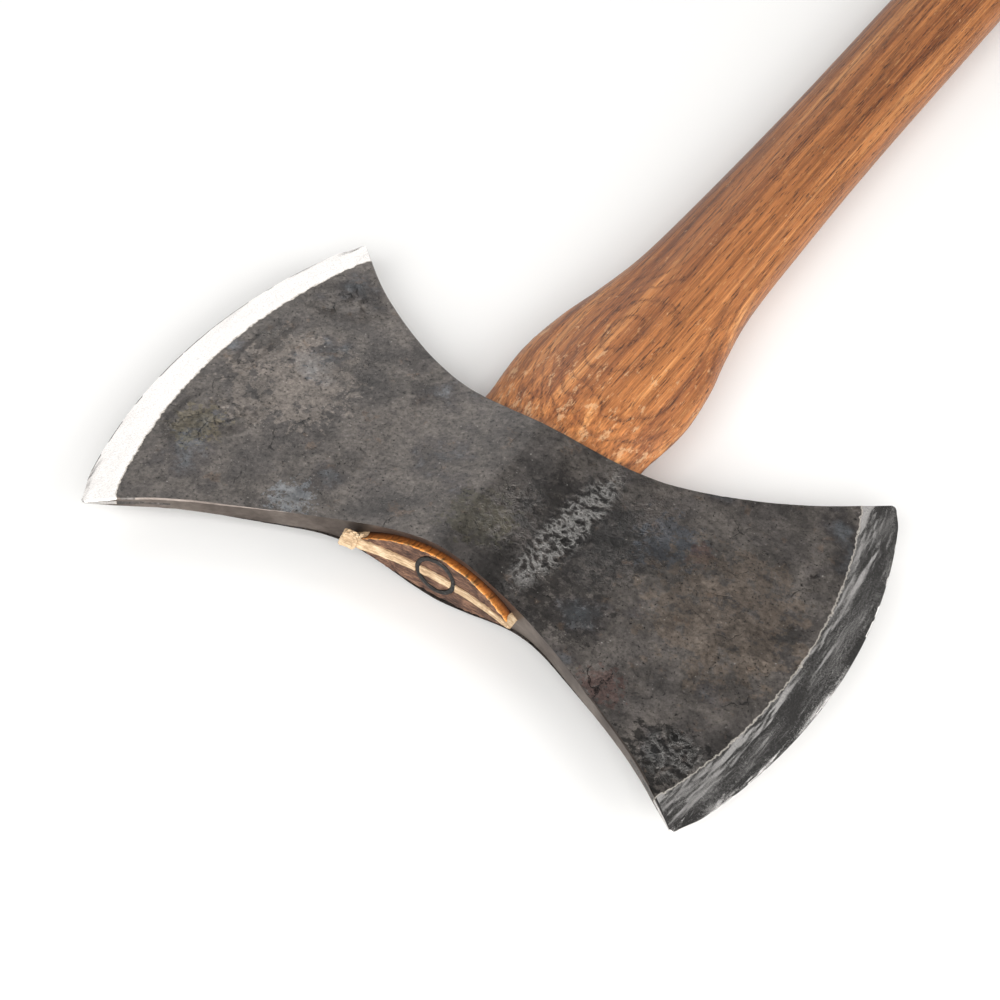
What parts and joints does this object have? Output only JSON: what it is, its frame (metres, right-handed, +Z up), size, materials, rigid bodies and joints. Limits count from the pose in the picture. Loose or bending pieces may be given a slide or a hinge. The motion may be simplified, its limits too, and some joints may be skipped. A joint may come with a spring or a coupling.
{
  "type": "double-bit felling axe",
  "caption": "Double-bitted felling axe with a forged steel head and a straight oval wooden haft, locked in the eye by a wooden wedge and a steel ring.",
  "frame": {"origin": "centre of the haft's flat butt end, on the haft's centreline and on the mid-plane of head and haft", "axes": "+Y runs along the haft out of its butt end, so the head lies at -Y; X runs along the bits from one cutting edge to the other; +Z is up from the cheek the axe lies on"},
  "size_m": [0.2636, 0.8048, 0.033],
  "materials": {
    "forged_steel": "dark forged mill scale under clear lacquer, bevels ground bright",
    "hickory": "oiled reddish-brown hickory, satin",
    "wedge_wood": "pale raw wood, dry",
    "ring_steel": "dark steel, dull"
  },
  "bodies": {
    "root": {"axe_head": "forged_steel", "haft": "hickory", "wood_wedge": "wedge_wood", "ring_wedge": "ring_steel"}
  },
  "joints": []
}
